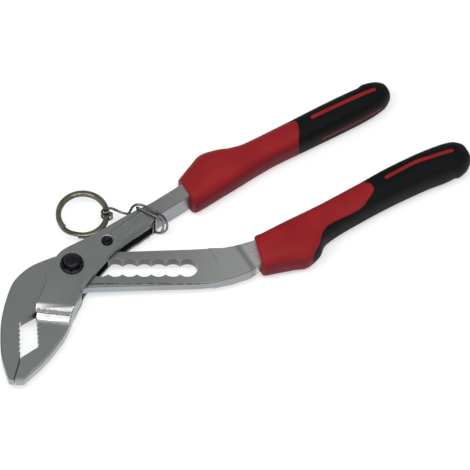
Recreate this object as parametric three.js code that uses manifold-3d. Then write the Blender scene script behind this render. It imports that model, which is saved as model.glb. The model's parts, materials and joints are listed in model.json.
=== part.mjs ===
// Water pump pliers of the 250 mm class. The outer lever is forged as a box of two cheeks, the
// slotted inner lever passes right through it, and a spring-loaded push button locks the pivot in
// one of nine scallops. Each handle has a two-colour moulded sleeve, and a split ring hangs on a
// wire that is wound round the outer lever's shank.
// Millimetres. While the pieces are made, the pivot axis is Z, the slot lies along X and the middle
// plane is at Z = 0. The last lines move a point of the far cheek's outer face to the origin.
import * as THREE from 'three';
import { mergeVertices } from 'three/addons/utils/BufferGeometryUtils.js';
import Module from 'manifold-3d';

const wasm = await Module();
wasm.setup();

// Joint: thicknesses through the box, and the gaps that neighbours keep
const cheekThickness = 3.4;
const leverThickness = 5.4;
const runningGap = 0.3;
const seatGap = 0.3;
const overrun = 6;
const windowHalf = leverThickness / 2 + runningGap;
const jointHalf = windowHalf + cheekThickness;
const edgeChamfer = 0.5;

// Slot: a row of overlapping round scallops, one for each pivot setting
const scallopRadius = 4.9;
const scallopPitch = 6.77;
const scallopCount = 9;
const slotLength = scallopPitch * (scallopCount - 1);
const barWall = 4.05;

// Jaws: reach from the pivot to the tips, thicknesses and pipe teeth
const jawReach = 61;
const jawRootThickness = 6.7;
const jawTipThickness = 5.5;
const jawGap = 0.35;
const toothPitch = 2.35;
const toothDepth = 0.6;

// Shank of the outer lever and neck of the inner lever
const shankWidth = 7.6;
const shankSide = 2.2;
const shankAngle = THREE.MathUtils.degToRad(35);
const windowReach = 44.5;
const shankLength = 18;
const neckLength = 25.3;
const neckWidth = 18.6;
const neckThickness = 6.2;
const neckWall = 9.5;

// Handle sleeves and the tangs inside them
const gripLength = 111.2;
const gripHalfWidth = 7;
const gripHalfThickness = 8.5;
const coverThickness = 1.6;
const stripeWidth = 1.8;
const tangWidth = 6.6;
const tangThickness = 7.8;
const tangShare = 0.8;
const gripSetback = 4.37;
const gripOffset = 2.15;
const gripDip = 2.2;
const outerGripAngle = THREE.MathUtils.degToRad(29.8);
const neckSetback = 7.44;
const innerGripAngle = THREE.MathUtils.degToRad(29);

// Push-button pivot
const latchDepth = 2.7;
const buttonTravel = latchDepth + runningGap;
const barrelRadius = scallopRadius - runningGap;
const stemRadius = 2.3;
const stemGap = 0.2;
const buttonRadius = 3.85;
const buttonTop = 0.8;
const buttonWall = 0.65;
const buttonProud = 2.5;
const collarWall = 0.65;
const collarFlange = 0.7;
const collarFloor = 0.4;
const collarProud = 1;
const collarFlare = 0.9;
const springWire = 0.45;
const springTurns = 4.5;

// Stop pin over the slotted bar
const stopPinRadius = 2.45;
const stopPinProud = 0.5;
const stopPinReach = 20.8;
const stopPinSide = 1.05;

// Shallow dishes that are pressed into the near cheek round the collar and the pin
const dishWidth = 0.9;
const dishDepth = 0.3;

// Split ring and tether wire
const ringRadius = 11.5;
const ringWidth = 2.35;
const ringTurnHeight = 1;
const ringTurnGap = 0.5;
const ringReach = 21.4;
const ringSide = 22.15;
const wireRadius = 0.6;
const wirePitch = 2.1;
const wireLean = 0.65;
const wireSetback = 2.8;
const wireBulge = 1.5;

const steel = new THREE.MeshStandardMaterial({ color: 0x8a8d89, metalness: 0.9, roughness: 0.42 });
const darkSteel = new THREE.MeshStandardMaterial({ color: 0x25262a, metalness: 0.6, roughness: 0.45 });
const ringSteel = new THREE.MeshStandardMaterial({ color: 0x6f6a5c, metalness: 0.9, roughness: 0.35 });
const redPlastic = new THREE.MeshStandardMaterial({ color: 0x962228, metalness: 0, roughness: 0.5 });
const blackRubber = new THREE.MeshStandardMaterial({ color: 0x16181a, metalness: 0, roughness: 0.6 });

// A closed geometry as a solid with its faces pointing out
function solid(geometry) {
  geometry.deleteAttribute('normal');
  geometry.deleteAttribute('uv');
  const merged = mergeVertices(geometry);
  const position = merged.attributes.position;
  const faces = [];
  let volume = 0;
  const [a, b, c] = [new THREE.Vector3(), new THREE.Vector3(), new THREE.Vector3()];
  for (let i = 0; i < merged.index.count; i += 3) {
    const face = [merged.index.getX(i), merged.index.getX(i + 1), merged.index.getX(i + 2)];
    if (new Set(face).size === 3) {
      faces.push(face);
      a.fromBufferAttribute(position, face[0]);
      b.fromBufferAttribute(position, face[1]);
      c.fromBufferAttribute(position, face[2]);
      volume += a.dot(b.cross(c));
    }
  }
  const outward = volume > 0 ? faces : faces.map((face) => face.reverse());
  return new wasm.Manifold(new wasm.Mesh({
    numProp: 3,
    vertProperties: position.array,
    triVerts: new Uint32Array(outward.flat()),
  }));
}

function piece(name, manifold, material) {
  const { vertProperties, triVerts } = manifold.getMesh();
  const geometry = new THREE.BufferGeometry();
  geometry.setAttribute('position', new THREE.BufferAttribute(vertProperties, 3));
  geometry.setIndex(new THREE.BufferAttribute(triVerts, 1));
  geometry.computeVertexNormals();
  const mesh = new THREE.Mesh(geometry, material);
  mesh.name = name;
  return mesh;
}

// Plan points from shares of one size
function scaled(shares, size) {
  return shares.map(([x, y]) => new THREE.Vector2(x * size, y * size));
}

// A smooth run through plan points
function curved(points, steps = 3) {
  return new THREE.SplineCurve(points).getPoints(steps * (points.length - 1));
}

// Runs of points as one outline, without the points that two runs share
function joined(...runs) {
  const same = edgeChamfer / 20;
  return runs.flat().filter((point, i, all) => point.distanceTo(all.at(i - 1)) > same);
}

// A slab of a plan outline from low to high, with chamfered rims where a chamfer is given
function slab(points, low, high, chamfer = 0) {
  const geometry = new THREE.ExtrudeGeometry(new THREE.Shape(points), {
    depth: high - low - 2 * chamfer,
    bevelEnabled: chamfer > 0,
    bevelThickness: chamfer,
    bevelSize: chamfer,
    bevelOffset: -chamfer,
    bevelSegments: 1,
  });
  geometry.translate(0, 0, low + chamfer);
  return solid(geometry);
}

// A body of revolution about Z from its closed profile of [radius, height] points
function turned(profile, segments = 32) {
  const closed = [...profile, profile[0]];
  const points = closed.map(([radius, height]) => new THREE.Vector2(radius, height));
  return solid(new THREE.LatheGeometry(points, segments).rotateX(Math.PI / 2));
}

function cylinder(radius, low, high, segments = 32) {
  return turned([[0, low], [radius, low], [radius, high], [0, high]], segments);
}

// A closed body through rings of equally many points, with flat ends
function loft(rings) {
  const sides = rings[0].length;
  const index = [];
  for (let i = 0; i + 1 < rings.length; i += 1) {
    for (let k = 0; k < sides; k += 1) {
      const a = i * sides + k;
      const b = i * sides + ((k + 1) % sides);
      index.push(a, b, b + sides, a, b + sides, a + sides);
    }
  }
  const last = (rings.length - 1) * sides;
  for (let k = 1; k + 1 < sides; k += 1) {
    index.push(0, k + 1, k, last, last + k, last + k + 1);
  }
  const positions = rings.flat().flatMap((point) => point.toArray());
  const geometry = new THREE.BufferGeometry();
  geometry.setAttribute('position', new THREE.Float32BufferAttribute(positions, 3));
  geometry.setIndex(index);
  return solid(geometry);
}

// A round wire along a curve
function wire(curve, radius, steps, sides) {
  const corners = [];
  for (let k = 0; k < sides; k += 1) {
    corners.push(new THREE.Vector2(radius, 0).rotateAround(new THREE.Vector2(), (k / sides) * 2 * Math.PI));
  }
  return solid(new THREE.ExtrudeGeometry(new THREE.Shape(corners), { steps, extrudePath: curve }));
}

// The least distance between two stretches of a centre line, less the height of what follows it
function leastGap(points, skip, height) {
  let least = Infinity;
  for (let i = 0; i < points.length; i += 1) {
    for (let j = i + skip; j < points.length; j += 1) {
      least = Math.min(least, points[i].distanceTo(points[j]));
    }
  }
  return least - height;
}

// A plan point at a distance along a direction from the pivot, and beside it
function place(angle, along, side) {
  return new THREE.Vector2(along, side).rotateAround(new THREE.Vector2(), angle);
}

// An open line of plan points moved to its left
function moved(points, distance) {
  return points.map((point, i) => {
    const way = points[Math.min(i + 1, points.length - 1)].clone().sub(points[Math.max(i - 1, 0)]);
    return point.clone().addScaledVector(new THREE.Vector2(-way.y, way.x).normalize(), distance);
  });
}

// A band along an open line of plan points, with pointed ends
function band(points, half) {
  const tail = points[0].clone().sub(points[1]).normalize();
  const head = points.at(-1).clone().sub(points.at(-2)).normalize();
  return [
    points[0].clone().addScaledVector(tail, half),
    ...moved(points, -half),
    points.at(-1).clone().addScaledVector(head, half),
    ...moved(points, half).reverse(),
  ];
}

// A forged bar: a chamfered rectangle along plan stations, grown where its sleeve's bore is cut
function bar(stations, growth = 0) {
  return loft(stations.map(({ at, halfWidth, halfThickness }, i) => {
    const before = stations[Math.max(i - 1, 0)].at;
    const after = stations[Math.min(i + 1, stations.length - 1)].at;
    const along = after.clone().sub(before).normalize();
    const shift = i === stations.length - 1 ? growth : 0;
    const w = halfWidth + growth;
    const t = halfThickness + growth;
    const corners = [
      [w, edgeChamfer - t], [w, t - edgeChamfer], [w - edgeChamfer, t], [edgeChamfer - w, t],
      [-w, t - edgeChamfer], [-w, edgeChamfer - t], [edgeChamfer - w, -t], [w - edgeChamfer, -t],
    ];
    return corners.map(([side, height]) => new THREE.Vector3(
      at.x + along.x * shift - along.y * side,
      at.y + along.y * shift + along.x * side,
      height,
    ));
  }));
}

// What saw teeth take out of the jaw on the left of the way between two outline points
function toothGaps(from, to) {
  const way = to.clone().sub(from);
  const left = new THREE.Vector2(-way.y, way.x).normalize();
  const count = Math.max(1, Math.round(way.length() / toothPitch));
  const rootShare = 0.35;
  const points = [];
  for (let i = 0; i < count; i += 1) {
    const root = from.clone().addScaledVector(way, (i + rootShare) / count);
    points.push(from.clone().addScaledVector(way, i / count));
    points.push(root.addScaledVector(left, toothDepth));
  }
  points.push(to.clone());
  points.push(to.clone().addScaledVector(left, -overrun));
  points.push(from.clone().addScaledVector(left, -overrun));
  return slab(points, -jointHalf, jointHalf);
}

// Outer lever outline: the crown is the edge behind the ring, the belly the edge over the slot.
// The rows behind the pivot are shares of the window's reach, the others of the jaw's reach.
const crownShares = [[0.82, 0.738], [0.611, 0.62], [0.321, 0.427], [0.106, 0.296]];
const browShares = [[-0.064, 0.135], [-0.128, 0.063], [-0.164, 0]];
const cheekEdgeShares = [
  [-0.164, 0], [-0.195, -0.095], [-0.218, -0.21], [-0.267, -0.323],
  [-0.275, -0.408],
];
const fixedJawShares = [
  [-0.275, -0.408], [-0.259, -0.707], [-0.384, -0.795], [-0.434, -0.994],
  [-0.361, -0.994],
];
const fixedBackShares = [
  [-0.361, -0.994], [-0.336, -0.966], [-0.243, -0.87], [-0.164, -0.772],
  [-0.066, -0.626], [-0.025, -0.539], [-0.003, -0.47], [0.008, -0.415],
  [0.034, -0.348], [0.079, -0.254],
];
const heelShares = [[0.079, -0.254], [0.092, -0.202]];
const bellyShares = [
  [0.239, -0.1], [0.348, 0.044], [0.457, 0.174], [0.647, 0.31], [0.769, 0.428], [0.881, 0.57],
];
const fixedJaw = scaled(fixedJawShares, jawReach);
const [fixedTeethTop, fixedTeethEnd, contactTop, contactTip] = fixedJaw;

// Side profile of the head across its width: full thickness at the box, two bevels with a groove
// between them, then the thinner jaw that tapers to its tip
const stepTilt = THREE.MathUtils.degToRad(-7.2);
const bevelStartShare = 0.36;
const grooveShare = 0.432;
const bevelEndShare = 0.495;
const grooveDepth = 0.25;
const grooveWidth = 0.5;

function headProfile() {
  const rootHalf = jawRootThickness / 2;
  const tipHalf = jawTipThickness / 2;
  const groove = grooveShare * jawReach;
  const grooveHeight = (jointHalf + rootHalf) / 2;
  const upper = [
    [-windowReach - overrun, jointHalf],
    [bevelStartShare * jawReach, jointHalf],
    [groove, grooveHeight],
    [groove + grooveWidth, grooveHeight - grooveDepth],
    [groove + 2 * grooveWidth, grooveHeight - grooveDepth / 2],
    [bevelEndShare * jawReach, rootHalf],
    [jawReach, tipHalf],
    [jawReach + overrun, tipHalf],
  ];
  const lower = upper.map(([reach, height]) => [reach, -height]).reverse();
  const points = [...upper, ...lower].map(([reach, height]) => new THREE.Vector2(reach, height));
  const across = 2 * (jawReach + windowReach);
  const geometry = new THREE.ExtrudeGeometry(new THREE.Shape(points), {
    depth: across,
    bevelEnabled: false,
  });
  geometry.translate(0, 0, -across / 2);
  const down = new THREE.Vector3(Math.sin(stepTilt), -Math.cos(stepTilt), 0);
  const up = new THREE.Vector3(0, 0, 1);
  geometry.applyMatrix4(new THREE.Matrix4().makeBasis(down, up, down.clone().cross(up)));
  return solid(geometry);
}

// The window that the slotted lever passes through, open on both long sides of the box
const windowFootShares = [
  [-0.749, -0.508], [-0.272, -0.41], [-0.164, -0.357], [-0.082, -0.31],
  [0, -0.275], [0.082, -0.261], [1, -0.239],
];

function boxWindow() {
  const foot = scaled(windowFootShares, jawReach);
  return slab([
    ...foot,
    place(shankAngle, windowReach, -windowReach),
    place(shankAngle, windowReach, jawReach),
    new THREE.Vector2(foot[0].x, jawReach),
  ], -windowHalf, windowHalf);
}

// Shallow frame pressed into the near cheek, left empty
const frameLength = 19;
const frameWidth = 6.4;
const frameDepth = 0.3;
const frameReach = 34;
const frameAngle = THREE.MathUtils.degToRad(3);

function cheekFrame() {
  const half = frameWidth / 2;
  const rim = half / 2;
  const centre = place(shankAngle, frameReach, shankSide / 2);
  const corners = [
    [frameLength / 2, half - rim], [frameLength / 2 - rim, half],
    [rim - frameLength / 2, half], [-frameLength / 2, half - rim],
    [-frameLength / 2, rim - half], [rim - frameLength / 2, -half],
    [frameLength / 2 - rim, -half], [frameLength / 2, rim - half],
  ];
  const points = corners.map(([along, side]) => place(shankAngle + frameAngle, along, side).add(centre));
  return slab(points, jointHalf - frameDepth, jointHalf + overrun);
}

// The middle of the outer sleeve's front end
const outerGripAt = place(shankAngle, windowReach + shankLength + gripSetback, shankSide + gripOffset);
const tangDepth = tangShare * gripLength;

// Plan stations of the outer lever's shank and of its tang inside the sleeve
const outerTang = [
  [place(shankAngle, windowReach - overrun, shankSide), shankWidth, 2 * jointHalf],
  [place(shankAngle, windowReach + shankLength, shankSide), shankWidth, 2 * jointHalf],
  [place(outerGripAngle, overrun, -shankSide / 2).add(outerGripAt), shankWidth, 2 * jointHalf],
  [place(outerGripAngle, shankLength, 0).add(outerGripAt), tangWidth, tangThickness],
  [place(outerGripAngle, tangDepth, 0).add(outerGripAt), tangWidth, tangThickness],
].map(([at, width, thickness]) => ({ at, halfWidth: width / 2, halfThickness: thickness / 2 }));

// The near cheek's hole follows the collar's flare, the far cheek's hole takes the locking barrel
const recessRadius = buttonRadius + runningGap;
const sleeveRadius = recessRadius + collarWall;
const flareRadius = sleeveRadius + collarFlare;
const flangeRadius = sleeveRadius + collarFlange;
const collarTop = jointHalf + collarProud;
const floorTop = windowHalf + collarFloor;

function pivotHoles() {
  const seatRadius = sleeveRadius + seatGap;
  const dishRadius = Math.max(seatRadius + dishWidth, flangeRadius + seatGap);
  const seat = turned([
    [0, 0],
    [flareRadius + seatGap, 0],
    [flareRadius + seatGap, floorTop],
    [seatRadius, floorTop + collarFlare],
    [seatRadius, jointHalf - dishDepth],
    [dishRadius, jointHalf],
    [dishRadius, collarTop + overrun],
    [0, collarTop + overrun],
  ]);
  return seat.add(cylinder(scallopRadius, -jointHalf - overrun, 0));
}

const stopPinAt = place(shankAngle, stopPinReach, stopPinSide);

function stopPinHole() {
  const holeRadius = stopPinRadius + seatGap;
  return turned([
    [0, -jointHalf - overrun],
    [holeRadius, -jointHalf - overrun],
    [holeRadius, jointHalf - dishDepth],
    [holeRadius + dishWidth, jointHalf],
    [holeRadius + dishWidth, jointHalf + overrun],
    [0, jointHalf + overrun],
  ], 24).translate([stopPinAt.x, stopPinAt.y, 0]);
}

function outerLever() {
  const head = joined(
    curved([...scaled(crownShares, windowReach), ...scaled(browShares, jawReach)]),
    curved(scaled(cheekEdgeShares, jawReach)),
    fixedJaw,
    curved(scaled(fixedBackShares, jawReach)),
    curved([...scaled(heelShares, jawReach), ...scaled(bellyShares, windowReach)]),
  );
  return slab(head, -jointHalf, jointHalf, edgeChamfer)
    .intersect(headProfile())
    .add(bar(outerTang))
    .subtract(boxWindow())
    .subtract(toothGaps(fixedTeethTop, fixedTeethEnd))
    .subtract(pivotHoles())
    .subtract(stopPinHole())
    .subtract(cheekFrame());
}

// Inner lever: one flat plate from the jaw to the end of the slot, then a thicker neck. The contact
// face keeps the jaw gap to the other jaw.
const undersideShares = [
  [-0.277, -0.4], [-0.221, -0.364], [-0.164, -0.32], [-0.098, -0.275],
  [-0.033, -0.238], [0.041, -0.207], [0.113, -0.18], [0.18, -0.172],
];
const movingBackShares = [
  [-0.016, 0.141], [-0.093, 0.115], [-0.169, 0.089], [-0.298, 0.029],
  [-0.379, -0.034], [-0.446, -0.115], [-0.482, -0.2], [-0.513, -0.311],
  [-0.534, -0.418], [-0.546, -0.525], [-0.546, -0.685], [-0.533, -0.798],
  [-0.509, -0.89], [-0.48, -0.984],
];
const movingTeethShares = [[-0.392, -0.789], [-0.398, -0.475]];
const [movingTeethEnd, movingTeethTop] = scaled(movingTeethShares, jawReach);
const neckShares = [
  [0.15, 0.035, 1.026, 1], [0.468, 0.067, 1.016, 1],
  [0.745, 0.124, 0.925, 1.1], [1, 0.263, 0.796, 1.2],
];
const neck = neckShares.map(([along, side, width, thickness]) => ({
  at: new THREE.Vector2(slotLength + along * neckLength, side * neckWidth),
  halfWidth: (width * neckWidth) / 2,
  halfThickness: (thickness * neckThickness) / 2,
}));
const neckEndShare = 0.58;
const innerGripAt = new THREE.Vector2(slotLength + neckLength + neckSetback, neckWidth / 2);
const innerTang = [
  ...neck,
  {
    at: innerGripAt,
    halfWidth: (neckEndShare * neckWidth) / 2,
    halfThickness: tangThickness / 2,
  },
  {
    at: place(innerGripAngle, shankLength, 0).add(innerGripAt),
    halfWidth: tangWidth / 2,
    halfThickness: tangThickness / 2,
  },
  {
    at: place(innerGripAngle, tangDepth, 0).add(innerGripAt),
    halfWidth: tangWidth / 2,
    halfThickness: tangThickness / 2,
  },
];

function scallopSlot(radius, low, high) {
  let slot = cylinder(radius, low, high, 28);
  for (let i = 1; i < scallopCount; i += 1) {
    slot = slot.add(cylinder(radius, low, high, 28).translate([i * scallopPitch, 0, 0]));
  }
  return slot;
}

function innerLever() {
  const leverHalf = leverThickness / 2;
  const barTop = scallopRadius + barWall;
  const contact = moved([contactTop, contactTip], -jawGap);
  const flatEnd = neck[1].at.clone().lerp(neck[2].at, 0.5);
  const flatHalf = (neck[1].halfWidth + neck[2].halfWidth) / 2;
  const plate = joined(
    curved(scaled(undersideShares, jawReach)),
    [
      new THREE.Vector2(neck[0].at.x, neck[0].at.y - neck[0].halfWidth),
      new THREE.Vector2(neck[1].at.x, neck[1].at.y - neck[1].halfWidth),
      new THREE.Vector2(flatEnd.x, flatEnd.y - flatHalf),
      new THREE.Vector2(flatEnd.x, flatEnd.y + flatHalf),
      new THREE.Vector2(neck[1].at.x, neck[1].at.y + neck[1].halfWidth),
      new THREE.Vector2(neck[0].at.x, neck[0].at.y + neck[0].halfWidth),
      new THREE.Vector2(slotLength / 2, barTop),
      new THREE.Vector2(scallopRadius, barTop),
    ],
    curved(scaled(movingBackShares, jawReach)),
    contact.reverse(),
    [movingTeethEnd, movingTeethTop],
  );
  const milledRadius = scallopRadius + neckWall;
  const milled = cylinder(milledRadius, -overrun, overrun, 64).translate([slotLength, 0, 0]);
  return bar(innerTang)
    .subtract(milled)
    .add(slab(plate, -leverHalf, leverHalf, edgeChamfer))
    .subtract(scallopSlot(scallopRadius, -overrun, overrun))
    .subtract(toothGaps(movingTeethEnd, movingTeethTop));
}

// Push-button pivot: a flanged collar that is flared in the near cheek, with a guide nose in the
// slot. The button, its stem and the locking barrel slide through it against a coil spring.
const barrelTop = latchDepth - leverThickness / 2;
const buttonFace = collarTop + buttonProud;
const capRecess = buttonFace - buttonTop;
const capBore = buttonRadius - buttonWall;
const cuspHalf = Math.sqrt(scallopRadius ** 2 - (scallopPitch / 2) ** 2);
const rimChamfer = 0.3;

function pivotCollar() {
  const noseRadius = cuspHalf - seatGap;
  const noseEnd = barrelTop + runningGap;
  return turned([
    [stemRadius + stemGap, noseEnd],
    [noseRadius, noseEnd],
    [noseRadius, windowHalf],
    [flareRadius, windowHalf],
    [flareRadius, floorTop - rimChamfer],
    [sleeveRadius, floorTop - rimChamfer + collarFlare],
    [sleeveRadius, jointHalf + runningGap],
    [flangeRadius, jointHalf + runningGap],
    [flangeRadius, collarTop - rimChamfer],
    [flangeRadius - rimChamfer, collarTop],
    [recessRadius, collarTop],
    [recessRadius, floorTop],
    [stemRadius + stemGap, floorTop],
  ], 36);
}

function pushButton() {
  const skirtEnd = floorTop + buttonTravel + seatGap;
  return turned([
    [0, capRecess],
    [capBore, capRecess],
    [capBore, skirtEnd],
    [buttonRadius, skirtEnd],
    [buttonRadius, buttonFace - 2 * rimChamfer],
    [buttonRadius - rimChamfer, buttonFace - rimChamfer],
    [buttonRadius - 3 * rimChamfer, buttonFace],
    [0, buttonFace],
  ]);
}

function lockingPin() {
  const barrelEnd = runningGap - jointHalf;
  return turned([
    [0, barrelEnd],
    [barrelRadius - rimChamfer, barrelEnd],
    [barrelRadius, barrelEnd + rimChamfer],
    [barrelRadius, barrelTop - rimChamfer],
    [barrelRadius - rimChamfer, barrelTop],
    [stemRadius, barrelTop],
    [stemRadius, capRecess - seatGap],
    [0, capRecess - seatGap],
  ], 36);
}

class Coil extends THREE.Curve {
  constructor(radius, turns, low, high) {
    super();
    Object.assign(this, { radius, turns, low, high });
  }

  getPoint(share, target = new THREE.Vector3()) {
    const angle = share * this.turns * 2 * Math.PI;
    const height = this.low + share * (this.high - this.low);
    return target.set(this.radius * Math.cos(angle), this.radius * Math.sin(angle), height);
  }
}

function buttonSpring() {
  const seat = (seatGap + springWire) / 2;
  const coil = new Coil((stemRadius + capBore) / 2, springTurns, floorTop + seat, capRecess - seat);
  const turnSteps = 8;
  const samples = 20;
  const points = coil.getPoints(springTurns * samples);
  const gap = leastGap(points, samples / 2, springWire);
  console.log(`button spring, least gap between turns ${gap.toFixed(2)} mm`);
  return wire(coil, springWire / 2, springTurns * turnSteps, 5);
}

function stopPin() {
  const low = runningGap - jointHalf;
  const high = jointHalf + stopPinProud;
  return turned([
    [0, low],
    [stopPinRadius - rimChamfer, low],
    [stopPinRadius, low + rimChamfer],
    [stopPinRadius, high - 2 * rimChamfer],
    [stopPinRadius - rimChamfer, high - rimChamfer],
    [stopPinRadius - 3 * rimChamfer, high],
    [0, high],
  ], 24).translate([stopPinAt.x, stopPinAt.y, 0]);
}

// Handle sleeves: a red core with a hand guard, and a black cover that is moulded over its rear and
// runs forward along the outer side as a tongue. A raised red stripe shows through slots in the
// cover. A row of a skin table holds the place along the sleeve, its inner side, its outer side
// and its height; a row of an edge or stripe table holds the place and the side.
const outerSkinShares = [
  [0, -1.414, 0.85, 0.835], [0.013, -1.514, 0.93, 0.941], [0.081, -1.443, 1.43, 1.035],
  [0.144, -1.343, 1.8, 1.082], [0.207, -1.243, 1.62, 1.082], [0.27, -1.129, 1.25, 1.047],
  [0.333, -1.029, 1.07, 1.012], [0.423, -0.943, 1.05, 1], [0.54, -0.971, 1.06, 1],
  [0.701, -1, 1.09, 1.012], [0.827, -1, 1.07, 1], [0.899, -0.95, 1.05, 0.965],
  [0.95, -0.79, 0.93, 0.86], [0.984, -0.5, 0.66, 0.62], [1, -0.15, 0.31, 0.306],
];
const innerSkinShares = [
  [0, -0.96, 1.46, 0.835], [0.013, -1.03, 1.59, 0.941], [0.044, -0.985, 1.73, 1.012],
  [0.102, -1, 2.05, 1.082], [0.164, -1.029, 2.4, 1.094], [0.227, -1.029, 2.12, 1.059],
  [0.289, -1.014, 1.42, 1.024], [0.351, -1.029, 1.229, 1], [0.413, -1.071, 1.129, 1],
  [0.538, -1.171, 1, 1], [0.662, -1.3, 0.957, 1.012], [0.787, -1.314, 1, 1.012],
  [0.9, -1.23, 1.19, 0.965], [0.963, -1.07, 1.07, 0.84], [1, -0.77, 0.77, 0.58],
  [1.017, -0.36, 0.38, 0.306],
];
const outerEdgeShares = [
  [0.5, -2.6], [0.531, -0.914], [0.56, -0.1], [0.554, 0.7], [0.5, 0.84], [0.36, 0.9],
  [0.3, 1.05], [0.26, 1.3], [0.22, 1.6], [0.15, 2.9],
];
const innerEdgeShares = [
  [0.5, -2.6], [0.545, -0.9], [0.564, -0.457], [0.564, 0.057], [0.525, 0.486], [0.449, 0.857],
  [0.322, 0.886], [0.277, 1.286], [0.254, 1.443], [0.232, 1.886], [0.204, 2.171], [0.15, 2.9],
];
const outerStripeShares = [[0.637, 0.257], [0.79, 0.2], [0.935, 0.114]];
const innerStripeShares = [[0.638, -0.357], [0.774, -0.443], [0.85, -0.3], [0.945, -0.1]];
const sideStripeShares = [[0.637, -2], [0.935, -2], [0.935, -0.2], [0.637, -0.2]];

const outerGrip = {
  skin: outerSkinShares,
  edge: outerEdgeShares,
  stripe: outerStripeShares,
  sideStripe: sideStripeShares,
  angle: outerGripAngle,
  front: outerGripAt,
  outward: 1,
  slant: 0,
  tang: outerTang,
};
const innerGrip = {
  skin: innerSkinShares,
  edge: innerEdgeShares,
  stripe: innerStripeShares,
  angle: innerGripAngle,
  front: innerGripAt,
  outward: -1,
  slant: 0.26,
  tang: innerTang,
};

function gripPoint(grip, along, side) {
  return place(grip.angle, along, grip.outward * side).add(grip.front);
}

function gripLine(grip, shares) {
  return shares.map(([along, side]) => gripPoint(grip, along * gripLength, side * gripHalfWidth));
}

// The skin drawn in by an inset, without the rings at the rear that the inset closes up
function gripSkin(grip, inset) {
  const roundness = 2.7;
  const sides = 20;
  const frontShare = 0.12;
  const rows = grip.skin.map(([along, inner, outer, height]) => ({
    along: along * gripLength,
    centre: ((inner + outer) * gripHalfWidth) / 2,
    halfWidth: ((outer - inner) * gripHalfWidth) / 2 - inset,
    halfHeight: height * gripHalfThickness - inset,
    slant: grip.slant * Math.max(0, 1 - along / frontShare),
  }));
  const open = rows.filter((row) => row.halfWidth > coverThickness || inset === 0);
  return loft(open.map((row) => {
    const ring = [];
    for (let k = 0; k < sides; k += 1) {
      const angle = ((k + 0.5) / sides) * 2 * Math.PI;
      const [c, s] = [Math.cos(angle), Math.sin(angle)];
      const side = row.centre + row.halfWidth * Math.sign(c) * Math.abs(c) ** (2 / roundness);
      const height = row.halfHeight * Math.sign(s) * Math.abs(s) ** (2 / roundness);
      const at = gripPoint(grip, row.along - row.slant * side, side);
      ring.push(new THREE.Vector3(at.x, at.y, height));
    }
    return ring;
  }));
}

// All that lies behind the edge of the cover, grown by a gap
function behindEdge(grip, gap) {
  const edge = moved(gripLine(grip, grip.edge), grip.outward * gap);
  const far = 2 * gripHalfWidth + overrun;
  return slab([
    ...edge,
    gripPoint(grip, gripLength + overrun, far),
    gripPoint(grip, gripLength + overrun, -far),
  ], -far, far);
}

function gripStripes(grip, gap) {
  const reach = gripHalfThickness + overrun;
  const stripe = slab(band(gripLine(grip, grip.stripe), stripeWidth / 2 + gap), -reach, reach);
  if (!grip.sideStripe) return stripe;
  const half = stripeWidth / 2 + gap;
  return stripe.add(slab(gripLine(grip, grip.sideStripe), -half, half));
}

// The hollow of a sleeve's front end, whose two sides are set back behind its faces
function gripMouth(grip) {
  const chord = grip.skin[0][3] * gripHalfThickness;
  const radius = (chord ** 2 + gripDip ** 2) / (2 * gripDip);
  const reach = 4 * gripHalfWidth;
  const turn = THREE.MathUtils.radToDeg(grip.angle + grip.outward * Math.atan(grip.slant));
  const at = gripPoint(grip, gripDip - radius, 0);
  return cylinder(radius, -reach, reach, 96).rotate([90, 0, turn]).translate([at.x, at.y, 0]);
}

function gripCore(grip) {
  const skin = gripSkin(grip, 0);
  return skin
    .subtract(behindEdge(grip, seatGap))
    .add(gripSkin(grip, coverThickness + seatGap))
    .add(skin.intersect(gripStripes(grip, 0)))
    .subtract(gripMouth(grip))
    .subtract(bar(grip.tang, seatGap));
}

function gripCover(grip) {
  return gripSkin(grip, 0)
    .intersect(behindEdge(grip, 0))
    .subtract(gripSkin(grip, coverThickness))
    .subtract(gripStripes(grip, seatGap));
}

// Split ring: flat wire in two layers of almost a full turn each, joined by one short ramp
const ringCentre = place(shankAngle, ringReach, ringSide);
const ringPitch = ringTurnHeight + ringTurnGap;

function splitRing() {
  const splitAngle = THREE.MathUtils.degToRad(135);
  const rampHalf = THREE.MathUtils.degToRad(20);
  const steps = 48;
  const sweep = 4 * Math.PI - 2 * rampHalf;
  const centres = [];
  const rings = [];
  const edge = ringTurnHeight / 2;
  const half = ringWidth / 2;
  for (let i = 0; i <= steps; i += 1) {
    const turn = rampHalf + (i / steps) * sweep;
    const climb = THREE.MathUtils.smoothstep(turn, 2 * Math.PI - rampHalf, 2 * Math.PI + rampHalf);
    const height = (climb - 0.5) * ringPitch;
    const out = new THREE.Vector2(1, 0).rotateAround(new THREE.Vector2(), turn + splitAngle);
    const section = [[half, 0], [half - edge, edge], [edge - half, edge], [-half, 0], [edge - half, -edge], [half - edge, -edge]];
    rings.push(section.map(([wide, high]) => new THREE.Vector3(
      ringCentre.x + out.x * (ringRadius + wide),
      ringCentre.y + out.y * (ringRadius + wide),
      height + high,
    )));
    centres.push(new THREE.Vector3(out.x * ringRadius, out.y * ringRadius, height));
  }
  const gap = leastGap(centres, steps / 4, ringTurnHeight);
  console.log(`split ring, least gap between turns ${gap.toFixed(2)} mm`);
  return loft(rings);
}

// Tether wire: nearly two turns round the split ring, a run to the shank, then two leaning turns
// round the shank, the first of which humps over the start of the second. A row of the run table
// holds the place along the shank, beside it and over the middle plane, in wire pitches.
const runShares = [
  [-6.5, 6.25, 1.75], [-5.4, 4.9, 2.5], [-4.3, 3.7, 3.5], [-3.1, 2.9, 4.3], [-1.8, 2.2, 4.45],
];
const wireReach = windowReach + wireSetback;

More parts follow.
